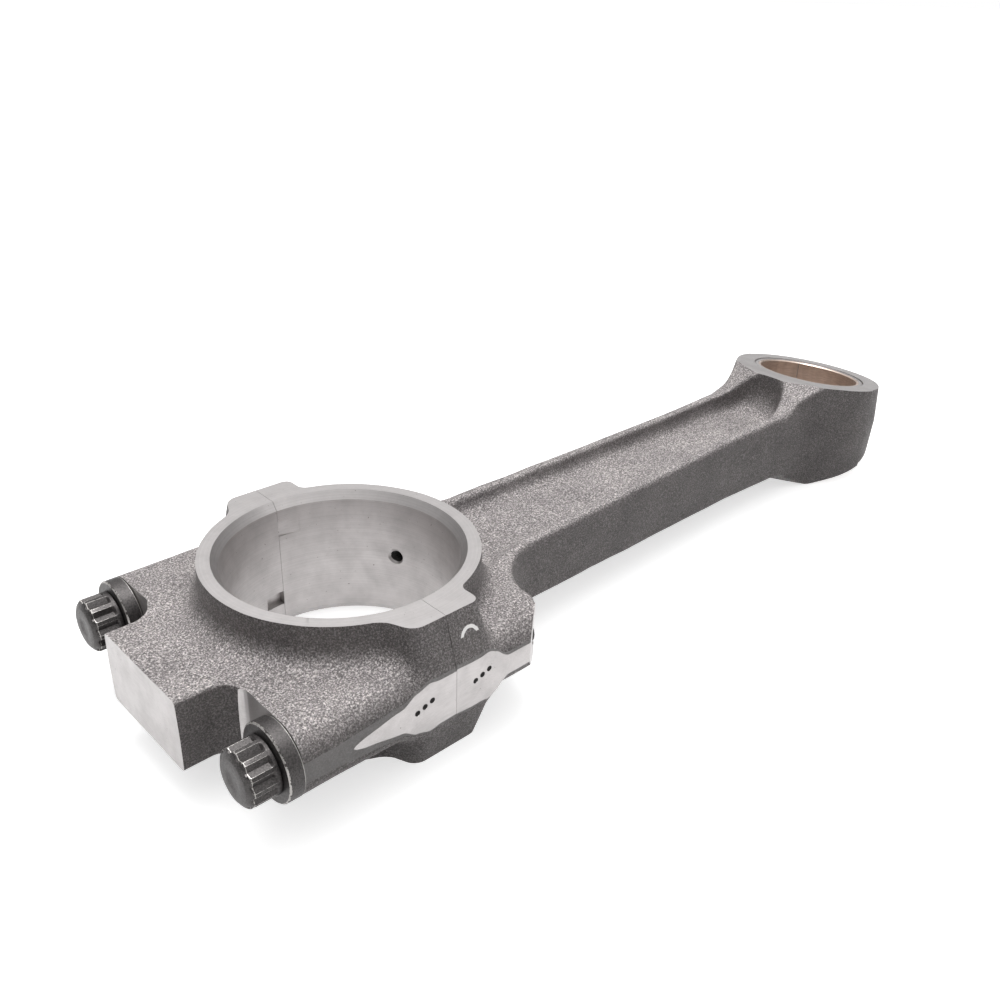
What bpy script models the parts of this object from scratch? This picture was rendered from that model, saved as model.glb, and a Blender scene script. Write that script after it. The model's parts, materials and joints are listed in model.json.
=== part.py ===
"""Connecting rod of a heavy inline diesel engine, lying on its side.

The bores run along Z and the beam runs along X, from the crank bore to the pin bore. Sizes are in
metres and are measured from the centre of the crank bore. The finished part is then carried by the
empty "rod_frame", which puts the origin under the middle of the whole part.
"""

import math

import bmesh
import bpy
from mathutils import Matrix, Vector

# ---- Driving dimensions -------------------------------------------------------------------------

CENTRE_DISTANCE = 0.3048
CLEARANCE = 0.0003

CRANK_BORE_RADIUS = 0.04212
CRANK_CHAMFER_RADIAL = 0.0024
CRANK_CHAMFER_AXIAL = 0.0032
RING_WALL = 0.0072
BIG_END_HALF_WIDTH = 0.0271
EAR_HALF_LENGTH = 0.015
EAR_REACH = 0.0563

BOLT_OFFSET = 0.0505
SHOULDER_WALL = 0.0118
SHOULDER_HALF_HEIGHT = 0.0134
SHOULDER_CORNER = 0.0065
PAD_HALF_HEIGHT = 0.0082
BOSS_LENGTH = 0.045
BOSS_CORNER = 0.0125
BOSS_CORNER_RATIO = 0.9
BOSS_EDGE_FILLET = 0.003

CAP_SEAT_DISTANCE = 0.0579
BLOCK_LENGTH = 0.0192
BLOCK_HALF_WIDTH = 0.0238
BLOCK_ROOT_RUN = 0.0064
BLOCK_EDGE_FILLET = 0.001
BLOCK_ROOT_FILLET = 0.002
SEAT_INNER_FILLET = 0.003
SEAT_OUTER_FILLET = 0.004

BOLT_RADIUS = 0.00635
BOLT_ENGAGEMENT = 0.042
BOLT_HEAD_RADIUS = 0.0097
BOLT_HEAD_HEIGHT = 0.0106
BOLT_COLLAR_HEIGHT = 0.0012
BOLT_TIP_SHARE = 0.2
POINT_VALLEY_SHARE = 0.87
POINT_HALF_ANGLE = math.radians(4)
WASHER_RADIUS = 0.0131
WASHER_THICKNESS = 0.0053
WASHER_CHAMFER = 0.0006
DOWEL_RADIUS = 0.003
DOWEL_HALF_LENGTH = 0.008
DOWEL_LEAD_SHARE = 0.2
DOWEL_HEIGHT = 0.017
TANG_SLOT_WIDTH = 0.0058
TANG_SLOT_LENGTH = 0.008
TANG_SLOT_DEPTH = 0.0016
TANG_SLOT_HEIGHT = 0.0147

BEAM_ROOT_X = 0.078
BEAM_ROOT_HALF_WIDTH = 0.0248
BEAM_TIP_HALF_WIDTH = 0.0213
BEAM_ROOT_HALF_HEIGHT = 0.0141
BEAM_TIP_HALF_HEIGHT = 0.0163
FLANGE_THICKNESS = 0.0062
WEB_HALF_THICKNESS = 0.0062
CHANNEL_CORNER = 0.009
BEAM_FILLET = 0.02
NECK_RATIO = 1.5
FLARE_ANGLE = math.radians(128)
RISE_START_SHARE = 0.5
RISE_END_SHARE = 0.17

PIN_BORE_RADIUS = 0.0254
BUSHING_WALL = 0.0031
EYE_WALL = 0.0094
EYE_HALF_WIDTH = 0.0213
KEYSTONE_ANGLE = math.radians(10.4)
BUSHING_RECESS = 0.0004

OIL_PASSAGE_RADIUS = 0.0024
OIL_MOUTH_ANGLE = math.radians(26)
OIL_OVERRUN_SHARE = 0.33
OIL_STEPS = 20

ROUND_STEPS = 72
SMALL_STEPS = 32
FILLET_STEPS = 6
OVERCUT = 0.01

# ---- Sizes that follow --------------------------------------------------------------------------

RING_RADIUS = CRANK_BORE_RADIUS + RING_WALL
PAD_REACH = BOLT_OFFSET + SHOULDER_WALL
BLOCK_FACE = CAP_SEAT_DISTANCE + BLOCK_LENGTH
BUSHING_RADIUS = PIN_BORE_RADIUS + BUSHING_WALL
EYE_BORE_RADIUS = BUSHING_RADIUS + CLEARANCE
EYE_RADIUS = EYE_BORE_RADIUS + EYE_WALL
ROD_TIP = CENTRE_DISTANCE + EYE_RADIUS
NECK_X = CENTRE_DISTANCE - EYE_RADIUS * NECK_RATIO
BOLT_HOLE_RADIUS = BOLT_RADIUS + CLEARANCE
WASHER_HOLE_RADIUS = BOLT_RADIUS + CLEARANCE
HEAD_SEAT = CAP_SEAT_DISTANCE + CLEARANCE + WASHER_THICKNESS + CLEARANCE
DOWEL_HOLE_RADIUS = DOWEL_RADIUS + CLEARANCE
HALF_GAP = CLEARANCE / 2

PARTS = bpy.data.collections.new("connecting_rod")
CUTTERS = bpy.data.collections.new("cutters")


# ---- Tools --------------------------------------------------------------------------------------

def clear_scene():
    for item in list(bpy.data.objects):
        bpy.data.objects.remove(item, do_unlink=True)
    bpy.context.scene.collection.children.link(PARTS)
    bpy.context.scene.collection.children.link(CUTTERS)


def make_material(name, colour, roughness, metallic):
    material = bpy.data.materials.new(name)
    material.use_nodes = True
    shader = material.node_tree.nodes["Principled BSDF"]
    shader.inputs["Base Color"].default_value = (*colour, 1.0)
    shader.inputs["Roughness"].default_value = roughness
    shader.inputs["Metallic"].default_value = metallic
    return material


def rounded(corners):
    """A closed outline from (x, y, fillet radius) corners, with each fillet as an arc."""
    outline = []
    for index, (x, y, radius) in enumerate(corners):
        if radius == 0:
            outline.append((x, y))
            continue
        before = Vector(corners[index - 1][:2])
        after = Vector(corners[(index + 1) % len(corners)][:2])
        corner = Vector((x, y))
        inward = ((before - corner).normalized() + (after - corner).normalized()).normalized()
        half = (before - corner).angle(after - corner) / 2
        centre = corner + inward * radius / math.sin(half)
        run = radius / math.tan(half)
        first = corner + (before - corner).normalized() * run - centre
        last = corner + (after - corner).normalized() * run - centre
        sweep = -first.angle_signed(last)
        for step in range(FILLET_STEPS + 1):
            turn = Matrix.Rotation(sweep * step / FILLET_STEPS, 2)
            outline.append(tuple(centre + turn @ first))
    return outline


def mirrored(corners):
    """The corners of an outline that is symmetric about its first axis, from its upper half."""
    return corners + [(x, -y, radius) for x, y, radius in reversed(corners)]


def to_mesh_object(source, name, collection):
    """A mesh object with the evaluated shape of another object, welded, which it replaces."""
    bpy.context.view_layer.update()
    graph = bpy.context.evaluated_depsgraph_get()
    mesh = bpy.data.meshes.new_from_object(source.evaluated_get(graph))
    shape = bmesh.new()
    shape.from_mesh(mesh)
    bmesh.ops.remove_doubles(shape, verts=shape.verts, dist=0.000001)
    bmesh.ops.recalc_face_normals(shape, faces=shape.faces)
    shape.to_mesh(mesh)
    shape.free()
    made = bpy.data.objects.new(name, mesh)
    made.matrix_world = source.matrix_world
    collection.objects.link(made)
    bpy.data.objects.remove(source, do_unlink=True)
    return made


AXIS_TURNS = {"Z": (0, 0, 0), "X": (math.pi / 2, 0, math.pi / 2), "Y": (math.pi / 2, 0, 0)}


def extruded(name, outline, axis, low, high, collection=CUTTERS):
    """A flat outline extruded along an axis. Its own axes are XY for Z, YZ for X and XZ for Y."""
    curve = bpy.data.curves.new(name + "_outline", "CURVE")
    curve.dimensions = "2D"
    curve.fill_mode = "BOTH"
    curve.extrude = (high - low) / 2
    spline = curve.splines.new("POLY")
    spline.points.add(len(outline) - 1)
    for point, (u, v) in zip(spline.points, outline):
        point.co = (u, v, 0, 1)
    spline.use_cyclic_u = True
    flat = bpy.data.objects.new(name + "_flat", curve)
    flat.rotation_euler = AXIS_TURNS[axis]
    middle = (low + high) / 2
    flat.location = {"X": (middle, 0, 0), "Y": (0, middle, 0), "Z": (0, 0, middle)}[axis]
    CUTTERS.objects.link(flat)
    return to_mesh_object(flat, name, collection)


def turned(name, profile, axis, location, steps, collection=CUTTERS):
    """A profile of (radius, height) points, listed from the top down, turned about an axis."""
    mesh = bpy.data.meshes.new(name + "_profile")
    points = [(0, 0, profile[0][1])] + [(radius, 0, height) for radius, height in profile]
    points.append((0, 0, profile[-1][1]))
    mesh.from_pydata(points, [(i, i + 1) for i in range(len(points) - 1)], [])
    shape = bpy.data.objects.new(name + "_turn", mesh)
    screw = shape.modifiers.new("turn", "SCREW")
    screw.steps = steps
    screw.render_steps = steps
    screw.use_merge_vertices = True
    screw.merge_threshold = 0.00001
    shape.rotation_euler = {"Z": (0, 0, 0), "X": (0, math.pi / 2, 0), "Y": (-math.pi / 2, 0, 0)}[axis]
    shape.location = location
    CUTTERS.objects.link(shape)
    return to_mesh_object(shape, name, collection)


def cylinder(name, radius, axis, location, length, steps=SMALL_STEPS):
    """A plain cylinder centred on a point."""
    return turned(name, [(radius, length / 2), (radius, -length / 2)], axis, location, steps)


def block(name, low, high):
    """A box between two corners."""
    mesh = bpy.data.meshes.new(name)
    shape = bmesh.new()
    bmesh.ops.create_cube(shape, size=1)
    for vertex in shape.verts:
        for axis in range(3):
            vertex.co[axis] = (low[axis] + high[axis]) / 2 + vertex.co[axis] * (high[axis] - low[axis])
    shape.to_mesh(mesh)
    shape.free()
    made = bpy.data.objects.new(name, mesh)
    CUTTERS.objects.link(made)
    return made


def combine(target, operation, *tools):
    """Joins, cuts or keeps the common part with each tool in turn."""
    for tool in tools:
        change = target.modifiers.new(operation.lower() + "_" + tool.name, "BOOLEAN")
        change.operation = operation
        change.solver = "EXACT"
        change.object = tool
        tool.hide_render = True
        tool.display_type = "WIRE"
    return target


def side_name(side):
    return "left" if side > 0 else "right"


# ---- Shapes that the rod and the cap share ------------------------------------------------------

def ring_blank(name):
    """The thrust collar round the crank bore, which is the full width of the big end."""
    return cylinder(name, RING_RADIUS, "Z", (0, 0, 0), 2 * BIG_END_HALF_WIDTH, ROUND_STEPS)


def ear_blank(name):
    """The lug across the joint: full width inside, with its walls sloping out to the two flat pads."""
    half = [
        (-EAR_REACH, BIG_END_HALF_WIDTH, 0),
        (-PAD_REACH, PAD_HALF_HEIGHT, 0),
        (-PAD_REACH, -PAD_HALF_HEIGHT, 0),
        (-EAR_REACH, -BIG_END_HALF_WIDTH, 0),
    ]
    opposite = [(-y, z, radius) for y, z, radius in reversed(half)]
    return extruded(name, rounded(half + opposite), "X", -EAR_HALF_LENGTH, EAR_HALF_LENGTH)


def shoulder_blank(name, plan, low, high):
    """A plan outline kept within the rounded cross-section that carries the bolts."""
    body = extruded(name, plan, "Z", -SHOULDER_HALF_HEIGHT, SHOULDER_HALF_HEIGHT)
    section = [
        (-PAD_REACH, SHOULDER_HALF_HEIGHT, SHOULDER_CORNER),
        (-PAD_REACH, -SHOULDER_HALF_HEIGHT, SHOULDER_CORNER),
        (PAD_REACH, -SHOULDER_HALF_HEIGHT, SHOULDER_CORNER),
        (PAD_REACH, SHOULDER_HALF_HEIGHT, SHOULDER_CORNER),
    ]
    envelope = extruded(name + "_section", rounded(section), "X", low, high)
    combine(body, "INTERSECT", envelope)
    return to_mesh_object(body, name, CUTTERS)


def crank_bore(name):
    """The crank bore with a chamfer at each mouth."""
    mouth = CRANK_BORE_RADIUS + CRANK_CHAMFER_RADIAL
    flat = BIG_END_HALF_WIDTH - CRANK_CHAMFER_AXIAL
    top = BIG_END_HALF_WIDTH + OVERCUT
    flare = mouth + CRANK_CHAMFER_RADIAL * OVERCUT / CRANK_CHAMFER_AXIAL
    profile = [
        (flare, top),
        (CRANK_BORE_RADIUS, flat),
        (CRANK_BORE_RADIUS, -flat),
        (flare, -top),
    ]
    return turned(name, profile, "Z", (0, 0, 0), ROUND_STEPS)


def joint_holes(prefix):
    """The bolt holes and the dowel holes, which both run straight through the joint face."""
    holes = []
    for side in (1, -1):
        name = prefix + "_" + side_name(side)
        bolt_run = 2 * (max(BLOCK_FACE, BOSS_LENGTH) + OVERCUT)
        holes.append(cylinder(name + "_bolt_hole", BOLT_HOLE_RADIUS, "X", (0, side * BOLT_OFFSET, 0), bolt_run))
        dowel_at = (0, side * BOLT_OFFSET, side * DOWEL_HEIGHT)
        dowel_run = 2 * (DOWEL_HALF_LENGTH + CLEARANCE)
        holes.append(cylinder(name + "_dowel_hole", DOWEL_HOLE_RADIUS, "X", dowel_at, dowel_run))
    return holes


def tang_slot(name, low, high, height):
    """The notch in the bore wall that locates a bearing shell's tang."""
    half = TANG_SLOT_WIDTH / 2
    inner = CRANK_BORE_RADIUS - OVERCUT
    outer = CRANK_BORE_RADIUS + TANG_SLOT_DEPTH
    return block(name, (low, inner, height - half), (high, outer, height + half))


# ---- Rod ----------------------------------------------------------------------------------------

def beam_half_width(x):
    share = (x - BEAM_ROOT_X) / (CENTRE_DISTANCE - EYE_RADIUS - BEAM_ROOT_X)
    return BEAM_ROOT_HALF_WIDTH + share * (BEAM_TIP_HALF_WIDTH - BEAM_ROOT_HALF_WIDTH)


def beam_blank():
    """The beam and the eye: a plan outline kept within a side outline."""
    flare_x = CENTRE_DISTANCE + EYE_RADIUS * math.cos(FLARE_ANGLE)
    flare_y = EYE_RADIUS * math.sin(FLARE_ANGLE)
    eye_steps = ROUND_STEPS // 2
    plan = rounded([
        (CRANK_BORE_RADIUS, BOLT_OFFSET - BOLT_RADIUS, 0),
        (BEAM_ROOT_X, BEAM_ROOT_HALF_WIDTH, BEAM_FILLET),
        (NECK_X, beam_half_width(NECK_X), BEAM_FILLET),
        (flare_x, flare_y, 0),
    ] + [
        (
            CENTRE_DISTANCE + EYE_RADIUS * math.cos(FLARE_ANGLE * (1 - 2 * step / eye_steps)),
            EYE_RADIUS * math.sin(FLARE_ANGLE * (1 - 2 * step / eye_steps)),
            0,
        )
        for step in range(1, eye_steps)
    ] + [
        (flare_x, -flare_y, 0),
        (NECK_X, -beam_half_width(NECK_X), BEAM_FILLET),
        (BEAM_ROOT_X, -BEAM_ROOT_HALF_WIDTH, BEAM_FILLET),
        (CRANK_BORE_RADIUS, BOLT_RADIUS - BOLT_OFFSET, 0),
    ])
    blank = extruded("beam_plan", plan, "Z", -BIG_END_HALF_WIDTH, BIG_END_HALF_WIDTH)
    rise_x = CENTRE_DISTANCE - EYE_RADIUS
    side = rounded(mirrored([
        (0, SHOULDER_HALF_HEIGHT, 0),
        (BEAM_ROOT_X, BEAM_ROOT_HALF_HEIGHT, 0),
        (rise_x - EYE_RADIUS * RISE_START_SHARE, BEAM_TIP_HALF_HEIGHT, BEAM_FILLET),
        (rise_x + EYE_RADIUS * RISE_END_SHARE, BIG_END_HALF_WIDTH, 0),
        (ROD_TIP + OVERCUT, BIG_END_HALF_WIDTH, 0),
    ]))
    combine(blank, "INTERSECT", extruded("beam_side", side, "Y", -PAD_REACH, PAD_REACH))
    return to_mesh_object(blank, "beam_blank", CUTTERS)


def channel_cutters():
    """The hollow on each face of the beam, which leaves the web between two flanges."""
    start = RING_RADIUS + FLANGE_THICKNESS
    end = CENTRE_DISTANCE - EYE_RADIUS
    inner = [
        (start, beam_half_width(start) - FLANGE_THICKNESS, CHANNEL_CORNER),
        (NECK_X, beam_half_width(NECK_X) - FLANGE_THICKNESS, 0),
        (end, beam_half_width(end) - FLANGE_THICKNESS, CHANNEL_CORNER),
    ]
    outline = rounded(mirrored(inner))
    top = BIG_END_HALF_WIDTH + OVERCUT
    return [
        extruded("channel_top", outline, "Z", WEB_HALF_THICKNESS, top),
        extruded("channel_bottom", outline, "Z", -top, -WEB_HALF_THICKNESS),
    ]


def keystone_cutters(prefix, recess):
    """The wedges that taper the small end, thinner towards the tip, from each side."""
    cutters = []
    slope = math.tan(KEYSTONE_ANGLE)
    near = CENTRE_DISTANCE - EYE_RADIUS - OVERCUT
    far = ROD_TIP + OVERCUT
    top = 2 * BIG_END_HALF_WIDTH
    for face in (1, -1):
        outline = [
            (near, face * (EYE_HALF_WIDTH - recess + (CENTRE_DISTANCE - near) * slope)),
            (far, face * (EYE_HALF_WIDTH - recess + (CENTRE_DISTANCE - far) * slope)),
            (far, face * top),
            (near, face * top),
        ]
        name = prefix + ("_upper" if face > 0 else "_lower")
        cutters.append(extruded(name, outline, "Y", -EYE_RADIUS - OVERCUT, EYE_RADIUS + OVERCUT))
    return cutters


def oil_passage(name, radius):
    """The drilling from the crank bore wall to the pin bore, through the middle of the web."""
    start = (CRANK_BORE_RADIUS * math.cos(OIL_MOUTH_ANGLE), CRANK_BORE_RADIUS * math.sin(OIL_MOUTH_ANGLE))
    end = (CENTRE_DISTANCE - PIN_BORE_RADIUS, 0)
    run = math.dist(start, end)
    heading = math.atan2(end[1] - start[1], end[0] - start[0])
    overrun = PIN_BORE_RADIUS * OIL_OVERRUN_SHARE
    middle = ((start[0] + end[0]) / 2, (start[1] + end[1]) / 2, 0)
    drill = cylinder(name, radius, "X", middle, run + 2 * overrun, OIL_STEPS)
    drill.rotation_euler = (0, math.pi / 2, heading)
    return drill


def rod_forging():
    """The rod: half of the big end, the beam and the eye, in one forging."""
    boss_corner_x = BOSS_LENGTH - BOSS_CORNER
    inner_y = BOLT_OFFSET - BOLT_RADIUS - SHOULDER_WALL / 2
    plan = rounded(mirrored([
        (HALF_GAP, PAD_REACH, 0),
        (boss_corner_x, PAD_REACH, 0),
        (BOSS_LENGTH, PAD_REACH - BOSS_CORNER * BOSS_CORNER_RATIO, BOSS_EDGE_FILLET),
        (BOSS_LENGTH, inner_y, 0),
        (BEAM_ROOT_X - BOSS_CORNER, BEAM_ROOT_HALF_WIDTH, 0),
    ]))
    shoulder = shoulder_blank("rod_shoulder", plan, -OVERCUT, BEAM_ROOT_X + OVERCUT)
    rod = beam_blank()
    rod.name = "rod_forging"
    CUTTERS.objects.unlink(rod)
    PARTS.objects.link(rod)
    combine(rod, "UNION", shoulder, ring_blank("rod_ring"), ear_blank("rod_ear"))
    cap_side = block(
        "rod_cap_side",
        (-BLOCK_FACE - OVERCUT, -PAD_REACH - OVERCUT, -BIG_END_HALF_WIDTH - OVERCUT),
        (HALF_GAP, PAD_REACH + OVERCUT, BIG_END_HALF_WIDTH + OVERCUT),
    )
    combine(rod, "DIFFERENCE", *channel_cutters(), *keystone_cutters("keystone", 0))
    eye_bore = cylinder(
        "eye_bore", EYE_BORE_RADIUS, "Z", (CENTRE_DISTANCE, 0, 0), 2 * BIG_END_HALF_WIDTH + OVERCUT, ROUND_STEPS
    )
    slot = tang_slot("rod_tang_slot", HALF_GAP - OVERCUT, TANG_SLOT_LENGTH, TANG_SLOT_HEIGHT)
    combine(rod, "DIFFERENCE", crank_bore("rod_crank_bore"), eye_bore, cap_side, slot)
    combine(rod, "DIFFERENCE", *joint_holes("rod"), oil_passage("oil_passage", OIL_PASSAGE_RADIUS))
    return rod


def bearing_cap():
    """The cap: the other half of the big end, with two bolt seats and the block that balances the rod."""
    seat_y = BLOCK_HALF_WIDTH + CHANNEL_CORNER
    shoulder = shoulder_blank("cap_shoulder", rounded(mirrored([
        (-BLOCK_FACE, BLOCK_HALF_WIDTH, BLOCK_EDGE_FILLET),
        (-CAP_SEAT_DISTANCE - BLOCK_ROOT_RUN, BLOCK_HALF_WIDTH, BLOCK_ROOT_FILLET),
        (-CAP_SEAT_DISTANCE, seat_y, SEAT_INNER_FILLET),
        (-CAP_SEAT_DISTANCE, PAD_REACH, SEAT_OUTER_FILLET),
        (-HALF_GAP, PAD_REACH, 0),
    ])), -BLOCK_FACE - OVERCUT, OVERCUT)
    cap = shoulder
    cap.name = "bearing_cap"
    CUTTERS.objects.unlink(cap)
    PARTS.objects.link(cap)
    combine(cap, "UNION", ring_blank("cap_ring"), ear_blank("cap_ear"))
    rod_side = block(
        "cap_rod_side",
        (-HALF_GAP, -PAD_REACH - OVERCUT, -BIG_END_HALF_WIDTH - OVERCUT),
        (RING_RADIUS + OVERCUT, PAD_REACH + OVERCUT, BIG_END_HALF_WIDTH + OVERCUT),
    )
    slot = tang_slot("cap_tang_slot", -TANG_SLOT_LENGTH, OVERCUT - HALF_GAP, -TANG_SLOT_HEIGHT)
    combine(cap, "DIFFERENCE", crank_bore("cap_crank_bore"), rod_side, slot, *joint_holes("cap"))
    return cap


# ---- Small end ----------------------------------------------------------------------------------

def small_end_bushing():
    """The plain bearing pressed into the eye, tapered with it, with an oil hole facing the beam."""
    at = (CENTRE_DISTANCE, 0, 0)
    height = 2 * (BIG_END_HALF_WIDTH - BUSHING_RECESS)
    bushing = turned(
        "small_end_bushing", [(BUSHING_RADIUS, height / 2), (BUSHING_RADIUS, -height / 2)], "Z", at, ROUND_STEPS, PARTS
    )
    bore = cylinder("bushing_bore", PIN_BORE_RADIUS, "Z", at, height + OVERCUT, ROUND_STEPS)
    hole = oil_passage("bushing_oil_hole", OIL_PASSAGE_RADIUS)
    return combine(bushing, "DIFFERENCE", *keystone_cutters("bushing_taper", BUSHING_RECESS), bore, hole)


# ---- Fasteners ----------------------------------------------------------------------------------

def twelve_point_outline(radius):
    """A twelve-point wrenching outline, with flattened tips."""
    valley = radius * POINT_VALLEY_SHARE
    outline = []
    for point in range(12):
        tip = math.radians(30 * point)
        outline.append((radius * math.cos(tip - POINT_HALF_ANGLE), radius * math.sin(tip - POINT_HALF_ANGLE)))
        outline.append((radius * math.cos(tip + POINT_HALF_ANGLE), radius * math.sin(tip + POINT_HALF_ANGLE)))
        low = tip + math.radians(15)
        outline.append((valley * math.cos(low), valley * math.sin(low)))
    return outline


def cap_bolt(side):
    """A twelve-point cap screw along X, with its origin where the head meets its washer."""
    name = "cap_bolt_" + side_name(side)
    at = (-HEAD_SEAT, side * BOLT_OFFSET, 0)
    shank = HEAD_SEAT + BOLT_ENGAGEMENT
    tip = BOLT_RADIUS * BOLT_TIP_SHARE
    profile = [
        (BOLT_RADIUS - tip, shank),
        (BOLT_RADIUS, shank - tip),
        (BOLT_RADIUS, 0),
        (BOLT_HEAD_RADIUS, 0),
        (BOLT_HEAD_RADIUS, -BOLT_COLLAR_HEIGHT),
    ]
    bolt = turned(name, profile, "X", at, SMALL_STEPS, PARTS)
    outline = twelve_point_outline(BOLT_HEAD_RADIUS)
    head = extruded(name + "_head", outline, "X", -HEAD_SEAT - BOLT_HEAD_HEIGHT, -HEAD_SEAT - BOLT_COLLAR_HEIGHT / 2)
    head.location.y = side * BOLT_OFFSET
    return combine(bolt, "UNION", head)


def bolt_washer(side):
    """A thick hardened washer along X, with its origin on its seat."""
    at = (-CAP_SEAT_DISTANCE - CLEARANCE, side * BOLT_OFFSET, 0)
    profile = [
        (WASHER_RADIUS, 0),
        (WASHER_RADIUS, WASHER_CHAMFER - WASHER_THICKNESS),
        (WASHER_RADIUS - WASHER_CHAMFER, -WASHER_THICKNESS),
    ]
    washer = turned("bolt_washer_" + side_name(side), profile, "X", at, SMALL_STEPS, PARTS)
    hole = cylinder(washer.name + "_hole", WASHER_HOLE_RADIUS, "X", at, 4 * WASHER_THICKNESS)
    return combine(washer, "DIFFERENCE", hole)


def dowel_pin(side):
    """A plain pin across the joint face that locates the cap on the rod."""
    at = (0, side * BOLT_OFFSET, side * DOWEL_HEIGHT)
    lead = DOWEL_RADIUS * DOWEL_LEAD_SHARE
    profile = [
        (DOWEL_RADIUS - lead, DOWEL_HALF_LENGTH),
        (DOWEL_RADIUS, DOWEL_HALF_LENGTH - lead),
        (DOWEL_RADIUS, lead - DOWEL_HALF_LENGTH),
        (DOWEL_RADIUS - lead, -DOWEL_HALF_LENGTH),
    ]
    return turned("dowel_pin_" + side_name(side), profile, "X", at, SMALL_STEPS // 2, PARTS)


# ---- Assembly -----------------------------------------------------------------------------------

def main():
    clear_scene()
    forged = make_material("forged_steel", (0.19, 0.17, 0.16), 0.55, 0.9)
    oxide = make_material("black_oxide_steel", (0.05, 0.048, 0.047), 0.4, 0.9)
    bronze = make_material("bearing_bronze", (0.36, 0.24, 0.17), 0.3, 1.0)
    bright = make_material("ground_steel", (0.55, 0.54, 0.52), 0.3, 1.0)
    frame = bpy.data.objects.new("rod_frame", None)
    frame.location = ((BLOCK_FACE - ROD_TIP) / 2, 0, BIG_END_HALF_WIDTH)
    PARTS.objects.link(frame)
    pieces = [(rod_forging(), forged), (bearing_cap(), forged), (small_end_bushing(), bronze)]
    for side in (1, -1):
        pieces.append((cap_bolt(side), oxide))
        pieces.append((bolt_washer(side), oxide))
        pieces.append((dowel_pin(side), bright))
    for piece, material in pieces:
        piece.data.materials.clear()
        piece.data.materials.append(material)
        piece.data.shade_smooth()
        piece.data.set_sharp_from_angle(angle=math.radians(30))
    for item in [*PARTS.objects, *CUTTERS.objects]:
        if item is not frame:
            item.parent = frame


main()
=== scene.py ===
"""Looks of a diesel connecting rod: a drop forging with milled and bored faces, its cap, two cap
screws on thick washers, and a steel-backed bronze bush.

Shapes are worked out in millimetres from the centre of the crank bore (X to the pin bore, Y across
the beam, Z along the bores) and are then set down in the row frame, in metres.
"""

import json
import math

import bmesh
import bpy
import numpy as np
import openvdb
from mathutils import Euler, Matrix, Vector

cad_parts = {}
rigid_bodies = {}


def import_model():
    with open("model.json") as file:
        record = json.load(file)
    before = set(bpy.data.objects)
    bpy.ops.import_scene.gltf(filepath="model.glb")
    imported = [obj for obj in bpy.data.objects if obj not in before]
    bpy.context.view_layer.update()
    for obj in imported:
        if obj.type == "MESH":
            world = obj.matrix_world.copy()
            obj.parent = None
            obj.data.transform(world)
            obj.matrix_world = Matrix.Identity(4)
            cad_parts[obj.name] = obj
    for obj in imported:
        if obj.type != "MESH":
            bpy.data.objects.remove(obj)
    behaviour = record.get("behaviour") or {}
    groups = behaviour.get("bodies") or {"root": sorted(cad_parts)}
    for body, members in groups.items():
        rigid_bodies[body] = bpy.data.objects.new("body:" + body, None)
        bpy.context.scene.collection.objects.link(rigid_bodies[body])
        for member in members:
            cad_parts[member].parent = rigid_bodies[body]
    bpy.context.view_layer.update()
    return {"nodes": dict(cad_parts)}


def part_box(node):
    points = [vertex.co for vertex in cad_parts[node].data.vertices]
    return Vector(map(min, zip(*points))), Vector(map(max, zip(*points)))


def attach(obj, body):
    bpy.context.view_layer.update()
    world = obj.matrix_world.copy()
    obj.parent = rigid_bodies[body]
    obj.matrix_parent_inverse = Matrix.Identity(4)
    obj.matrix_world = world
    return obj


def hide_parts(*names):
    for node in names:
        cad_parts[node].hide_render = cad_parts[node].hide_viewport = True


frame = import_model()

# ---- Where things are, from the frame -----------------------------------------------------------

rod_low, rod_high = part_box("rod_forging")
cap_low, cap_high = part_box("bearing_cap")
bush_low, bush_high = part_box("small_end_bushing")
washer_low, washer_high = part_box("bolt_washer_left")
head_low, head_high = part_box("cap_bolt_left")
ORIGIN = Vector(((rod_low.x + cap_high.x) / 2, 0, (rod_low.z + rod_high.z) / 2))

MM = 0.001


def from_origin(value, axis="x"):
    """A row-frame coordinate as millimetres from the crank centre."""
    return (value - getattr(ORIGIN, axis)) / MM


CENTRES = from_origin((bush_low.x + bush_high.x) / 2)
HALF_WIDTH = from_origin(rod_high.z, "z")
JOINT_GAP = from_origin(rod_low.x) * 0.4
PAD_REACH = rod_high.y / MM
ROD_TIP = from_origin(rod_high.x)
BLOCK_FACE = -from_origin(cap_low.x)
BOLT_Y = (washer_low.y + washer_high.y) / 2 / MM
WASHER_RADIUS = (washer_high.y - washer_low.y) / 2 / MM
WASHER_SEAT = from_origin(washer_high.x)
WASHER_FACE = from_origin(washer_low.x)
HEAD_END = from_origin(head_low.x)
BOLT_TIP = from_origin(head_high.x)
BUSH_RADIUS = (bush_high.y - bush_low.y) / 2 / MM
EYE_RADIUS = ROD_TIP - CENTRES

# ---- Sizes that the frame's boxes don't give, in millimetres --------------------------------------

CRANK_BORE = 42.12
CRANK_MOUTH = 44.52
CHAMFER_DEPTH = 3.2
RING_RADIUS = 49.3
SEAT = 57.9
BOLT_HOLE = 6.65
BOLT_RADIUS = 6.35
THREAD_PITCH = 1.27
THREAD_DEPTH = 0.72
HEAD_RADIUS = 9.7
DOWEL_HOLE = 3.3
DOWEL_REACH = 8.3
DOWEL_Z = 17.0
EYE_BORE = BUSH_RADIUS + 0.3
PIN_BORE = 25.4
EYE_HALF_WIDTH = 21.3
KEYSTONE = math.tan(math.radians(10.4))
BUSH_RECESS = 0.4
OIL_RADIUS = 2.4
OIL_ANGLE = math.radians(26)
BOSS_RADIUS = 12.4
BOSS_END = 45.0
CORE_HEIGHT = 13.5
BLOCK_HALF_WIDTH = 24.0
SHOULDER_REACH = 62.3
SHOULDER_ROUND = 7.0
RAMP_SLOPE = 0.59
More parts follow.
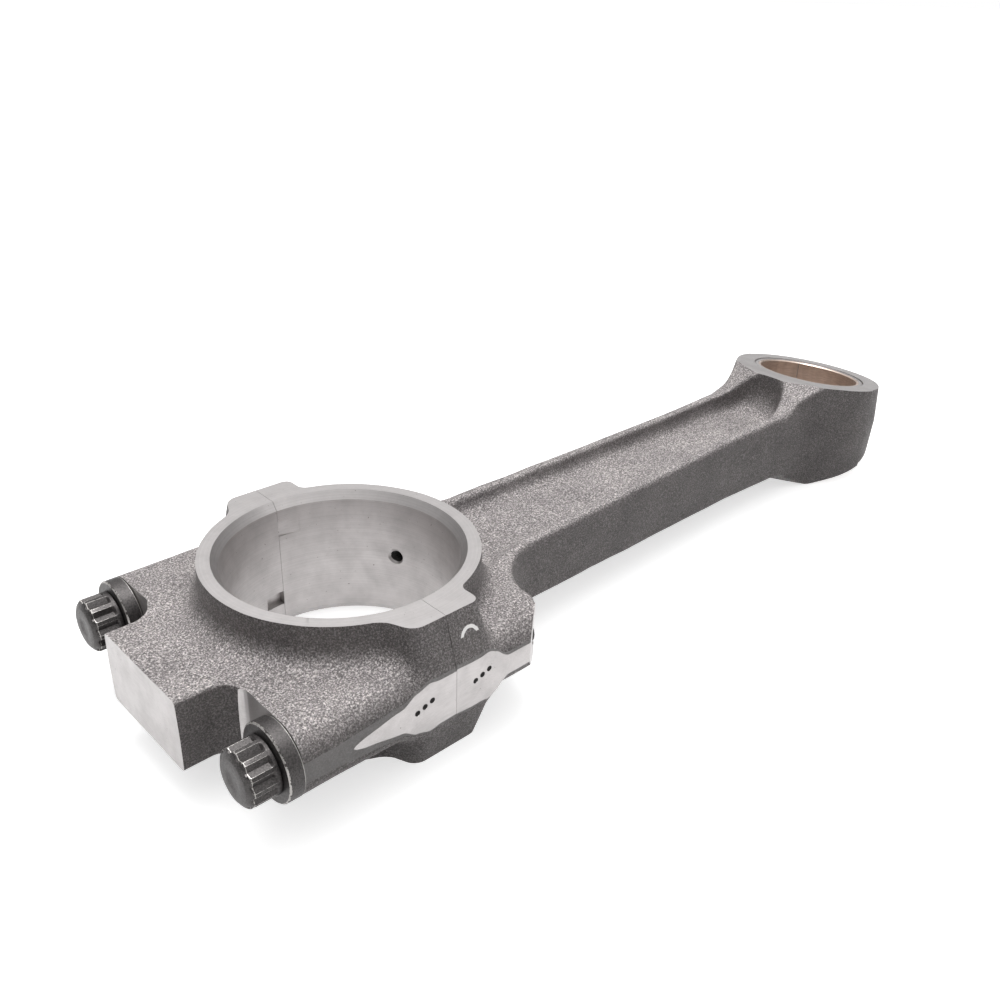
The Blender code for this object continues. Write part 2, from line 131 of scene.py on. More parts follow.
TIP_HALF_ANGLE = 4.0
VALLEY_SHARE = 0.87
WEB = 6.0
DRAFT = 0.12
RAW_DEPTH = 1.5  # what a blank has beyond a face that is machined
JOINT_OVERRUN = 10  # how far a blank runs past the joint before it is cut there
EAR_WALL = 56.7
EAR_WALL_SLOPE = 0.306
EAR_ROD_END = 14.5
EAR_CAP_END = 15.2
EAR_EDGE = 3.2
RIM_FILLET = 2.5
CHANNEL_END = 265.8
RAMP_FOOT = 239.2
BEAM_FILLET = 26.0
ARC_CENTRE = (7.8, 16.9)  # of the rubbed arc on the near ear's wall, in x and z
ARC_RADIUS = 3.8
ARC_HALF_WIDTH = 0.6
ARC_NEAREST_Y = 45.0
SHEAR_DEPTH = 0.4
SEAT_INNER = 27.5
SEAT_FILLET = 6.5
SLOT_DEPTH_IN_CAP = 2.8
PUNCH_RADIUS = 1.15
ENGAGEMENT = 42.0
SHARP_ANGLE = 28
SPACING = 0.7  # pitch of the grid that the forgings are worked out on


# ---- Node materials -------------------------------------------------------------------------------

class Nodes:
    """A short way to add and join the nodes of one material."""

    def __init__(self, name):
        self.material = bpy.data.materials.new(name)
        self.material.use_nodes = True
        self.tree = self.material.node_tree
        self.shader = self.tree.nodes["Principled BSDF"]

    def add(self, kind):
        return self.tree.nodes.new("ShaderNode" + kind)

    def link(self, source, target):
        self.tree.links.new(source, target)

    def set(self, **values):
        """Sets sockets of the shader, named in lower case with underscores."""
        for key, value in values.items():
            self.shader.inputs[key.replace("_", " ").title()].default_value = value

    def coordinates(self, stretch=(1, 1, 1)):
        """Object coordinates in millimetres, stretched along each axis."""
        source = self.add("TexCoord")
        scale = self.add("Mapping")
        scale.inputs["Scale"].default_value = [1000 * value for value in stretch]
        self.link(source.outputs["Object"], scale.inputs["Vector"])
        return scale.outputs["Vector"]

    def noise(self, vector, size, detail=2.0, roughness=0.5):
        """Noise whose features are about this many millimetres across."""
        node = self.add("TexNoise")
        node.inputs["Scale"].default_value = 1 / size
        node.inputs["Detail"].default_value = detail
        node.inputs["Roughness"].default_value = roughness
        self.link(vector, node.inputs["Vector"])
        return node.outputs["Fac"]

    def ramp(self, value, stops):
        """A colour ramp through (position, grey or colour) stops."""
        node = self.add("ValToRGB")
        for index, (position, colour) in enumerate(stops):
            if index < 2:
                stop = node.color_ramp.elements[index]
                stop.position = position
            else:
                stop = node.color_ramp.elements.new(position)
            stop.color = (colour,) * 3 + (1,) if isinstance(colour, float) else (*colour, 1)
        self.link(value, node.inputs["Fac"])
        return node.outputs["Color"]

    def mix(self, share, first, second, blend="MIX"):
        """Mixes two colours, each a socket or a value, by a socket or a number."""
        node = self.add("Mix")
        node.data_type = "RGBA"
        node.blend_type = blend
        for socket, value in ((0, share), (6, first), (7, second)):
            if isinstance(value, bpy.types.NodeSocket):
                self.link(value, node.inputs[socket])
            elif socket:
                node.inputs[socket].default_value = (*value, 1)
            else:
                node.inputs[socket].default_value = value
        return node.outputs[2]

    def math(self, operation, first, second=0.0, clamp=False):
        """One step of arithmetic on two values, each a socket or a number."""
        node = self.add("Math")
        node.operation = operation
        node.use_clamp = clamp
        for socket, value in ((0, first), (1, second)):
            if isinstance(value, bpy.types.NodeSocket):
                self.link(value, node.inputs[socket])
            else:
                node.inputs[socket].default_value = value
        return node.outputs[0]

    def bump(self, height, depth, strength=1.0, below=None):
        """Bump from a height field, with its depth in millimetres."""
        node = self.add("Bump")
        node.inputs["Strength"].default_value = strength
        node.inputs["Distance"].default_value = depth * MM
        self.link(height, node.inputs["Height"])
        if below is not None:
            self.link(below, node.inputs["Normal"])
        return node.outputs["Normal"]

    def finish(self, colour=None, roughness=None, normal=None):
        """Links what is given to the shader and returns the material."""
        for value, name in ((colour, "Base Color"), (roughness, "Roughness"), (normal, "Normal")):
            if value is not None:
                self.link(value, self.shader.inputs[name])
        return self.material


def forged_material():
    """Shot-blasted forging skin: warm grey with a coarse sparkle, slow patches and one rubbed arc, with
    painted light: the grain is painted much lighter on faces that look up and darker on upright walls.
    """
    n = Nodes("forged_steel_skin")
    at = n.coordinates()
    grain = n.noise(at, 0.62, 2.0, 0.75)
    pits = n.noise(at, 1.9, 2.0, 0.6)
    patch = n.noise(at, 17.0, 3.0, 0.55)
    dark, middle, bright = 0.34, 0.52, 0.68
    # Painted light and shade: a bright copy of the grain for faces that look up and a dark copy for upright
    # walls.
    level = n.ramp(grain, [
        (dark, (0.11, 0.102, 0.102)), (middle, (0.32, 0.298, 0.297)), (bright, (0.88, 0.83, 0.825))])
    painted_shade_wall_grain = n.ramp(grain, [
        (dark, (0.12, 0.112, 0.111)), (middle, (0.20, 0.186, 0.185)), (bright, (0.385, 0.361, 0.358))])
    source = n.add("TexCoord")
    facing = n.add("SeparateXYZ")
    n.link(source.outputs["Normal"], facing.inputs[0])
    # How much painted top light a face gets, from the square of its normal's upward part.
    upward = n.math("POWER", n.math("ABSOLUTE", facing.outputs[2]), 2.0)
    painted_top_light_share = n.math("MULTIPLY", upward, 1.25, True)
    base = n.mix(painted_top_light_share, painted_shade_wall_grain, level)
    slow = n.ramp(patch, [(0.3, (0.80, 0.79, 0.79)), (0.7, (1.08, 1.07, 1.06))])
    colour = n.mix(1.0, base, slow, "MULTIPLY")
    split = n.add("SeparateXYZ")
    n.link(at, split.inputs[0])
    across = n.math("SUBTRACT", split.outputs[0], ARC_CENTRE[0])
    up = n.math("SUBTRACT", split.outputs[2], ARC_CENTRE[1])
    reach = n.math("SQRT", n.math("ADD", n.math("MULTIPLY", across, across), n.math("MULTIPLY", up, up)))
    ragged = n.math("ADD", reach, n.math("MULTIPLY", pits, 0.8))
    off = n.math("ABSOLUTE", n.math("SUBTRACT", ragged, ARC_RADIUS))
    arc = n.math("MULTIPLY", n.math("LESS_THAN", off, ARC_HALF_WIDTH), n.math("GREATER_THAN", up, 1.0))
    near_wall = n.math("LESS_THAN", split.outputs[1], -ARC_NEAREST_Y)
    arc = n.math("MULTIPLY", arc, near_wall)
    sheared = n.math("GREATER_THAN", n.math("ABSOLUTE", split.outputs[1]), SHOULDER_REACH - SHEAR_DEPTH)
    colour = n.mix(sheared, colour, n.mix(0.3, (0.30, 0.29, 0.285), colour))
    colour = n.mix(arc, colour, (0.85, 0.83, 0.82))
    rough = n.ramp(pits, [(0.3, 0.48), (0.7, 0.66)])
    normal = n.bump(n.math("MULTIPLY", grain, n.math("SUBTRACT", 1.0, sheared)), 0.36, 1.0)
    normal = n.bump(pits, 0.30, 0.7, normal)
    n.link(n.math("ADD", n.math("MULTIPLY", arc, 0.45), 0.22), n.shader.inputs["Metallic"])
    n.shader.inputs["Specular IOR Level"].default_value = 0.3
    return n.finish(colour, rough, normal)


def milled_material():
    """Machined steel: light grey, with fine turning rings about the bores and faint stains."""
    n = Nodes("milled_steel")
    at = n.coordinates()
    split = n.add("SeparateXYZ")
    n.link(at, split.inputs[0])
    radius = n.math("SQRT", n.math("ADD", n.math("POWER", split.outputs[0], 2.0),
                                   n.math("POWER", split.outputs[1], 2.0)))
    join = n.add("CombineXYZ")
    n.link(radius, join.inputs[0])
    n.link(split.outputs[2], join.inputs[1])
    rings = n.noise(join.outputs[0], 0.35, 2.0, 0.6)
    stain = n.noise(at, 9.0, 4.0, 0.6)
    specks = n.noise(at, 0.9, 1.0, 0.5)
    base = n.ramp(rings, [(0.3, (0.49, 0.468, 0.464)), (0.7, (0.555, 0.531, 0.527))])
    dirt = n.ramp(stain, [(0.28, (0.84, 0.84, 0.84)), (0.62, (1.0, 1.0, 1.0))])
    dots = n.ramp(specks, [(0.20, (0.45, 0.43, 0.41)), (0.25, (1.0, 1.0, 1.0))])
    colour = n.mix(1.0, n.mix(1.0, base, dirt, "MULTIPLY"), dots, "MULTIPLY")
    rough = n.ramp(stain, [(0.3, 0.42), (0.7, 0.34)])
    n.set(metallic=0.85)
    return n.finish(colour, rough, n.bump(rings, 0.03, 0.35))


def shadowed_material():
    """The inside of narrow drillings and punch marks, painted near-black as painted shade in place of the
    darkness deep inside them.
    """
    n = Nodes("painted_shade_drilling")
    # Painted shade: near-black, with a little noise in its darkness.
    shade_variation = n.noise(n.coordinates(), 0.8, 2.0)
    n.set(metallic=0.2, roughness=0.7)
    return n.finish(n.ramp(shade_variation, [(0.3, (0.02, 0.019, 0.018)), (0.7, (0.055, 0.052, 0.05))]))


def oxide_material(name):
    """Black oxide, rubbed bright where the mesh's wear value is high."""
    n = Nodes(name)
    at = n.coordinates()
    scratch = n.noise(at, 1.1, 4.0, 0.7)
    wear = n.add("Attribute")
    wear.attribute_name = "wear"
    worn = n.math("ADD", wear.outputs["Fac"], n.math("MULTIPLY", n.math("SUBTRACT", scratch, 0.5), 1.1))
    rubbed = n.math("GREATER_THAN", wear.outputs["Fac"], 0.05)
    worn = n.math("MULTIPLY", n.math("GREATER_THAN", worn, 0.62), rubbed)
    fine = n.noise(at, 0.5, 2.0, 0.6)
    base = n.ramp(fine, [(0.35, (0.045, 0.042, 0.041)), (0.7, (0.105, 0.096, 0.095))])
    colour = n.mix(worn, base, (0.52, 0.50, 0.48))
    rough = n.ramp(scratch, [(0.3, 0.52), (0.7, 0.36)])
    n.set(metallic=0.6)
    return n.finish(colour, rough, n.bump(fine, 0.06, 0.6))


def bronze_material():
    """Bored bronze lining: brown, with fine rings along its depth and darker streaks."""
    n = Nodes("bronze_lining")
    at = n.coordinates((0.12, 0.12, 1.0))
    rings = n.noise(at, 0.45, 2.0, 0.6)
    tone = n.noise(n.coordinates((1, 1, 0.25)), 7.0, 3.0, 0.6)
    base = n.ramp(rings, [(0.3, (0.55, 0.445, 0.38)), (0.7, (0.71, 0.59, 0.515))])
    slow = n.ramp(tone, [(0.3, (0.75, 0.74, 0.74)), (0.7, (1.1, 1.1, 1.1))])
    n.set(metallic=0.7, roughness=0.38)
    return n.finish(n.mix(1.0, base, slow, "MULTIPLY"), None, n.bump(rings, 0.03, 0.5))


def ground_material():
    """Centreless-ground steel for the dowels."""
    n = Nodes("ground_steel")
    rings = n.noise(n.coordinates((3, 0.3, 0.3)), 0.6, 2.0)
    n.set(metallic=1.0)
    colour = n.ramp(rings, [(0.3, (0.50, 0.49, 0.48)), (0.7, (0.62, 0.61, 0.60))])
    return n.finish(colour, n.ramp(rings, [(0.3, 0.22), (0.7, 0.34)]), n.bump(rings, 0.02, 0.4))


forged = forged_material()
milled = milled_material()
bolt_finish = oxide_material("black_oxide_bolt")
washer_finish = oxide_material("black_oxide_washer")
bronze = bronze_material()
ground = ground_material()
shadowed = shadowed_material()


# ---- Distance fields ------------------------------------------------------------------------------

def join(a, b, radius):
    """Both solids, with a concave fillet where they meet."""
    outside = np.maximum(radius - a, 0) ** 2 + np.maximum(radius - b, 0) ** 2
    return np.maximum(radius, np.minimum(a, b)) - np.sqrt(outside)


def meet(a, b, radius):
    """The common part of two solids, with its edge rounded."""
    inside = np.maximum(radius + a, 0) ** 2 + np.maximum(radius + b, 0) ** 2
    return np.minimum(-radius, np.maximum(a, b)) + np.sqrt(inside)


def slow_noise(shape, cell, generator):
    """Smooth random values on a grid, with features this many cells across."""
    value = generator.standard_normal([size // cell + 3 for size in shape]).astype(np.float32)
    for axis, size in enumerate(shape):
        place = np.arange(size) / cell
        whole = place.astype(int)
        part = place - whole
        part = (part * part * (3 - 2 * part)).astype(np.float32)
        part = part.reshape([-1 if i == axis else 1 for i in range(3)])
        value = np.take(value, whole, axis) * (1 - part) + np.take(value, whole + 1, axis) * part
    return value


def grid(low, high):
    """Coordinates of one quarter of a solid that is symmetric about y = 0 and z = 0."""
    x = np.arange(low, high + SPACING, SPACING, dtype=np.float32)[:, None, None]
    y = np.arange(0, PAD_REACH + 4, SPACING, dtype=np.float32)[None, :, None]
    z = np.arange(0, HALF_WIDTH + 4, SPACING, dtype=np.float32)[None, None, :]
    return x, y, z


def ring_field(x, y, z):
    """The thrust collar round the crank bore, with a little draft."""
    radius = RING_RADIUS + (HALF_WIDTH - z) * 0.05
    return np.maximum(np.sqrt(x * x + y * y) - radius, z - HALF_WIDTH - RAW_DEPTH)


def ear_field(x, y, z):
    """The lug across the joint, whose outer wall slopes out and is milled flat at the pads."""
    depth = HALF_WIDTH - z
    outer = (y - EAR_WALL - depth * EAR_WALL_SLOPE) * 0.95
    rod_end = x - EAR_ROD_END - depth * 0.12
    cap_end = (-x - EAR_CAP_END - (50.5 - y) * 0.42 - depth * 0.20) * 0.90
    ends = np.maximum(rod_end, cap_end)
    return np.maximum(meet(outer, ends, EAR_EDGE), z - HALF_WIDTH - RAW_DEPTH)


def beam_half_width(x):
    """The beam narrows as far as the ramp to the eye, and then widens a little."""
    return np.where(x < 207, 24.5 - (x - 97) * 0.0282, 21.4 + (x - 207) * 0.012)


def flange_height(x):
    """Half the beam's height, which grows towards the eye."""
    return 12.4 + 0.0173 * x


def rod_field(x, y, z):
    """The rod before machining."""
    height = flange_height(x)
    wall = y - beam_half_width(x) - (height - z) * 0.05
    wing = x - BOSS_END
    plan = join(wall, np.maximum(wing, y - BOLT_Y), BEAM_FILLET)
    plan = np.maximum(plan, np.maximum(-x - JOINT_OVERRUN, x - CENTRES))
    channel = plan + 5.0
    channel = meet(channel, y - 27.5, 8.0)
    funnel = 0.572 * x + 0.821 * y - 157.8
    channel = meet(channel, funnel, 7.0)
    slope = np.clip(17 - z, -10, 11) * DRAFT
    hollow = meet(channel + slope, WEB - z, 8.5)
    hollow = meet(hollow, meet(x - CHANNEL_END + slope, WEB - z, 15.0), 4.0)
    beam = meet(plan, z - height, 2.4)
    eye = np.sqrt((x - CENTRES) ** 2 + y * y) - EYE_RADIUS + 0.25 + z * 0.055
    ramp = z - HALF_WIDTH + RAMP_SLOPE * (RAMP_FOOT - 0.911 * x + 0.412 * y)
    ramp = meet(join(wall, eye, 15.5), ramp * 0.86, 1.5)
    ramp = np.maximum(ramp, np.maximum(200 - x, x - CENTRES))
    eye = np.maximum(eye, z - HALF_WIDTH - RAW_DEPTH)
    body = join(join(beam, eye, 8.0), ramp, 3.0)
    body = np.maximum(body, z - HALF_WIDTH - RAW_DEPTH)
    body = meet(body, -hollow, 1.8)
    boss = np.sqrt((y - BOLT_Y) ** 2 + z * z) - BOSS_RADIUS + np.clip((18 - x) * 0.5, 0, 5)
    boss = meet(boss, x - BOSS_END, 3.0)
    body = join(body, np.maximum(boss, -x - JOINT_OVERRUN), 2.5)
    end = join(ring_field(x, y, z), ear_field(x, y, z), RIM_FILLET)
    return join(body, end, 6.5)


def cap_field(x, y, z):
    """The cap before machining."""
    end = np.maximum(-x - SEAT - 1.4, x - JOINT_OVERRUN)
    side = SHOULDER_REACH + np.clip((x + 42) * 0.02, -0.1, 0.4) - 0.02 * z * z
    side = side - np.clip((x + 17) * 0.5, 0, 5)
    top = CORE_HEIGHT - np.clip((y - 30) * 0.03, 0, 0.6)
    shoulder = np.maximum(meet(z - top, y - side, SHOULDER_ROUND), end)
    wall = y - BLOCK_HALF_WIDTH - (CORE_HEIGHT - z) * 0.03
    block = meet(wall, z - CORE_HEIGHT, 1.6)
    block = np.maximum(block, np.maximum(-x - BLOCK_FACE - RAW_DEPTH, x - JOINT_OVERRUN))
    low = np.maximum(join(shoulder, block, 8.0), z - CORE_HEIGHT)
    collar = join(ring_field(x, y, z), ear_field(x, y, z), RIM_FILLET)
    return join(low, collar, 7.0)


def whole_field(quarter):
    """The full grid from its quarter: mirrored in y and in z."""
    half = np.concatenate([quarter[:, :0:-1], quarter], axis=1)
    return np.concatenate([half[:, :, :0:-1], half], axis=2)


def forging(name, field, low, high, seed):
    """A mesh of a forging's skin, with the slight unevenness that the dies leave."""
    x, y, z = grid(low, high)
    whole = whole_field(field(x, y, z)).astype(np.float32)
    generator = np.random.default_rng(seed)
    whole += slow_noise(whole.shape, 9, generator) * 0.045
    whole += slow_noise(whole.shape, 22, generator) * 0.10
    volume = openvdb.FloatGrid(10.0)
    volume.copyFromArray(np.ascontiguousarray(whole))
    points, quads = volume.convertToQuads(isovalue=0.0)
    points = np.asarray(points, dtype=np.float64) * SPACING
    points += (low, -SPACING * (y.size - 1), -SPACING * (z.size - 1))
    mesh = bpy.data.meshes.new(name)
    quads = np.asarray(quads)
    faces = np.concatenate([quads[:, [2, 1, 0]], quads[:, [3, 2, 0]]])
    mesh.from_pydata(points * MM, [], faces.tolist())
    mesh.validate()
    made = bpy.data.objects.new(name, mesh)
    bpy.context.scene.collection.objects.link(made)
    made.location = ORIGIN
    for material in (forged, milled, shadowed):
        mesh.materials.append(material)
    return made


# ---- Cutters --------------------------------------------------------------------------------------

tools = bpy.data.collections.new("tools")
bpy.context.scene.collection.children.link(tools)


def tool_from(name, shape, material=milled):
    """A cutter whose faces leave this material, from a bmesh in millimetres."""
    bmesh.ops.recalc_face_normals(shape, faces=shape.faces)
    bmesh.ops.triangulate(shape, faces=shape.faces)
    for vertex in shape.verts:
        vertex.co *= MM
    mesh = bpy.data.meshes.new(name)
    shape.to_mesh(mesh)
    shape.free()
    mesh.materials.append(material)
    tool = bpy.data.objects.new(name, mesh)
    tool.location = ORIGIN
    tool.hide_render = True
    tools.objects.link(tool)
    return tool


def box_tool(name, low, high, turn=0.0, about=(0, 0)):
    """A box between two corners, which may be turned about a vertical line."""
    shape = bmesh.new()
    bmesh.ops.create_cube(shape, size=1)
    for vertex in shape.verts:
        for axis in range(3):
            vertex.co[axis] = (low[axis] + high[axis]) / 2 + vertex.co[axis] * (high[axis] - low[axis])
    pivot = Vector((*about, 0))
    bmesh.ops.rotate(shape, verts=shape.verts, cent=pivot, matrix=Matrix.Rotation(turn, 3, "Z"))
    return tool_from(name, shape)


def prism_tool(name, outline, low, high, plane="XY"):
    """An outline extruded along Z, or along Y for the plane XZ."""
    shape = bmesh.new()
    if plane == "XY":
        bottom = [shape.verts.new((u, v, low)) for u, v in outline]
        top = [shape.verts.new((u, v, high)) for u, v in outline]
    else:
        bottom = [shape.verts.new((u, low, v)) for u, v in outline]
        top = [shape.verts.new((u, high, v)) for u, v in outline]
    shape.faces.new(bottom)
    shape.faces.new(top)
    for index in range(len(outline)):
        after = (index + 1) % len(outline)
        shape.faces.new((bottom[index], bottom[after], top[after], top[index]))
    return tool_from(name, shape)


def lathe_shape(profile, axis, centre, steps):
    """A closed bmesh turned from (radius, distance along the axis) points that start and end on it."""
    shape = bmesh.new()
    rows = []
    for radius, along in profile:
        row = []
        for step in range(steps if radius > 0 else 1):
            angle = 2 * math.pi * step / steps
            a, b = radius * math.cos(angle), radius * math.sin(angle)
            at = {"Z": (a, b, along), "X": (along, a, b)}[axis]
            row.append(shape.verts.new(Vector(at) + Vector(centre)))
        rows.append(row)
    for one, two in zip(rows, rows[1:]):
        for step in range(steps):
            after = (step + 1) % steps
            corners = [(one, step), (one, after), (two, after), (two, step)]
            shape.faces.new(list(dict.fromkeys(row[place % len(row)] for row, place in corners)))
    return shape


def lathe_tool(name, profile, axis, centre, steps=48, material=milled):
    """A turned cutter."""
    return tool_from(name, lathe_shape(profile, axis, centre, steps), material)


def drill_tool(name, radius, centre, low, high, steps=48, material=milled):
    """A round cutter along X, from low to high past the centre."""
    profile = [(0, low), (radius, low), (radius, high), (0, high)]
    return lathe_tool(name, profile, "X", centre, steps, material)


def machine(blank, cutters):
    """Cuts a blank with each tool and keeps the result as its mesh. Every face stays a triangle, so
    that none of the joined faces is bent."""
    for cutter in cutters:
        change = blank.modifiers.new(cutter.name, "BOOLEAN")
        change.solver = "MANIFOLD"
        change.operation = "DIFFERENCE"
        change.material_mode = "TRANSFER"
        change.object = cutter
        blank.modifiers.new(cutter.name, "TRIANGULATE")
    bpy.context.view_layer.update()
    graph = bpy.context.evaluated_depsgraph_get()
    mesh = bpy.data.meshes.new_from_object(blank.evaluated_get(graph))
    blank.modifiers.clear()
    blank.data = mesh
    mesh.shade_smooth()
    mesh.set_sharp_from_angle(angle=math.radians(SHARP_ANGLE))
    return blank


def shared_tools(prefix):
    """The cuts that the rod and the cap both have."""
    reach = 90.0
    cuts = []
    for face in (1, -1):
        low, high = sorted((face * HALF_WIDTH, face * (HALF_WIDTH + 20)))
        cuts.append(box_tool(f"{prefix}_thrust_{face}", (-reach, -reach, low), (ROD_TIP + 20, reach, high)))
        low, high = sorted((face * PAD_REACH, face * (PAD_REACH + 20)))
        cuts.append(box_tool(f"{prefix}_pad_{face}", (-reach, low, -40), (reach, high, 40)))
        side = (0, face * BOLT_Y, 0)
        cuts.append(drill_tool(f"{prefix}_bolt_hole_{face}", BOLT_HOLE, side, -reach, reach))
        side = (0, face * BOLT_Y, face * DOWEL_Z)
        cuts.append(drill_tool(f"{prefix}_dowel_hole_{face}", DOWEL_HOLE, side, -DOWEL_REACH, DOWEL_REACH))
    flat = HALF_WIDTH - CHAMFER_DEPTH
    flare = (CRANK_MOUTH - CRANK_BORE) / CHAMFER_DEPTH * (CHAMFER_DEPTH + 6)
    cuts.append(lathe_tool(f"{prefix}_crank_bore", [
        (0, -HALF_WIDTH - 6), (CRANK_BORE + flare, -HALF_WIDTH - 6), (CRANK_BORE, -flat),
        (CRANK_BORE, flat), (CRANK_BORE + flare, HALF_WIDTH + 6), (0, HALF_WIDTH + 6),
    ], "Z", (0, 0, 0), 180))
    return cuts


def punch_tools(prefix, places):
    """Round punch dots on the pads."""
    cuts = []
    for index, (x, z) in enumerate(places):
        for side in (1, -1):
            shape = bmesh.new()
            bmesh.ops.create_uvsphere(shape, u_segments=24, v_segments=16, radius=PUNCH_RADIUS)
            for vertex in shape.verts:
                vertex.co += Vector((x, side * (PAD_REACH + 0.45), z))
            # The dots' insides get the near-black painted shade material.
            cuts.append(tool_from(f"{prefix}_punch_{index}_{side}", shape, shadowed))
    return cuts


def rod_tools():
    """The rod's cuts. The joint face comes first, which keeps the later cuts clean."""
    cuts = [box_tool("rod_joint_face", (-90, -90, -50), (JOINT_GAP, 90, 50))] + shared_tools("rod")
    near, far = CENTRES - EYE_RADIUS - 10, ROD_TIP + 10
    for face in (1, -1):
        cuts.append(prism_tool(f"keystone_{face}", [
            (near, face * (EYE_HALF_WIDTH + (CENTRES - near) * KEYSTONE)),
            (far, face * (EYE_HALF_WIDTH + (CENTRES - far) * KEYSTONE)),
            (far, face * 60), (near, face * 60),
        ], -60, 60, "XZ"))
        corner = (33.4, face * PAD_REACH)
        low, high = sorted((corner[1], corner[1] + face * 20))
        turn = -face * math.radians(40)
        cuts.append(box_tool(
            f"boss_corner_{face}", (corner[0], low, -30), (corner[0] + 30, high, 30), turn, corner))
    centre = (CENTRES, 0, 0)
    cuts.append(lathe_tool("eye_bore", [
        (0, -40), (EYE_BORE, -40), (EYE_BORE, 40), (0, 40)], "Z", centre, 144))
    cuts.append(prism_tool("rod_tang_slot", [
        (JOINT_GAP - 5, 30), (9, 30), (9, CRANK_BORE - 0.9), (JOINT_GAP - 5, CRANK_BORE + 1.9),
    ], 12.7, 19.0))
    mouth = Vector((math.cos(OIL_ANGLE), math.sin(OIL_ANGLE), 0)) * CRANK_BORE
    run = Vector((CENTRES - PIN_BORE, 0, 0)) - mouth
    # The passage's inside gets the near-black painted shade material.
    drill = drill_tool("oil_passage", OIL_RADIUS, (0, 0, 0), -6, run.length + 6, 32, shadowed)
    sink = lathe_tool("oil_countersink", [
        (0, -3), (3.6, -3), (3.3, 0), (OIL_RADIUS, 0.6), (0, 0.6)], "X", (0, 0, 0), 32)
    for tool, turn in ((drill, math.atan2(run.y, run.x)), (sink, OIL_ANGLE)):
        tool.location = ORIGIN + mouth * MM
        tool.rotation_euler = (0, 0, turn)
    return cuts + [drill, sink] + punch_tools("rod", [(8.2, 0.6), (11.2, 1.6), (14.2, 2.6)])


def cap_tools():
    """The cap's cuts, also from the joint face."""
    cuts = [
        box_tool("cap_joint_face", (-JOINT_GAP, -90, -50), (90, 90, 50)),
        box_tool("cap_block_face", (-110, -90, -50), (-BLOCK_FACE, 90, 50)),
    ] + shared_tools("cap")
    slot_reach = CRANK_BORE + SLOT_DEPTH_IN_CAP
    cuts.append(box_tool("cap_tang_slot", (-8, 30, -17.6), (JOINT_GAP + 5, slot_reach, -11.8)))
    for side in (1, -1):
        outline = [(-100, side * SEAT_INNER), (-100, side * 90), (-SEAT, side * 90)]
        for step in range(9):
            angle = math.pi / 2 * step / 8
            outline.append((
                -SEAT - SEAT_FILLET + SEAT_FILLET * math.cos(angle),
                side * (SEAT_INNER + SEAT_FILLET - SEAT_FILLET * math.sin(angle)),
            ))
        cuts.append(prism_tool(f"cap_seat_{side}", outline, -50, 50))
    return cuts + punch_tools("cap", [(-16.2, 0.2), (-13.2, 1.2), (-10.2, 2.2)])


rod = machine(forging("rod_body", rod_field, -6.0, ROD_TIP + 4, 11), rod_tools())
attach(rod, "rod")
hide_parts("rod_forging")

cap = machine(forging("cap_body", cap_field, -BLOCK_FACE - 4, 6.0, 12), cap_tools())
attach(cap, "cap")
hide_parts("bearing_cap")


# ---- Turned pieces ----------------------------------------------------------------------------------

def piece_from(name, shape, location, materials, sharp=SHARP_ANGLE):
    """A shown piece from a bmesh in millimetres about a location, also in millimetres."""
    bmesh.ops.recalc_face_normals(shape, faces=shape.faces)
    for vertex in shape.verts:
        vertex.co *= MM
    mesh = bpy.data.meshes.new(name)
    shape.to_mesh(mesh)
    shape.free()
    for material in materials:
        mesh.materials.append(material)
    mesh.shade_smooth()
    mesh.set_sharp_from_angle(angle=math.radians(sharp))
    made = bpy.data.objects.new(name, mesh)
    made.location = ORIGIN + Vector(location) * MM
    bpy.context.scene.collection.objects.link(made)
    return made


def lobe_radius(degrees):
    """A twelve-point outline: flat-topped points with straight flanks down to the valleys."""
    turn = abs((degrees + 15) % 30 - 15)
    if turn <= TIP_HALF_ANGLE:
        return HEAD_RADIUS
    first = Vector((1, 0)) * HEAD_RADIUS
    first.rotate(Matrix.Rotation(math.radians(TIP_HALF_ANGLE), 2))
    second = Vector((1, 0)) * HEAD_RADIUS * VALLEY_SHARE
    second.rotate(Matrix.Rotation(math.radians(15), 2))
    ray = Vector((math.cos(math.radians(turn)), math.sin(math.radians(turn))))
    return first.cross(second) / ray.cross(second - first)


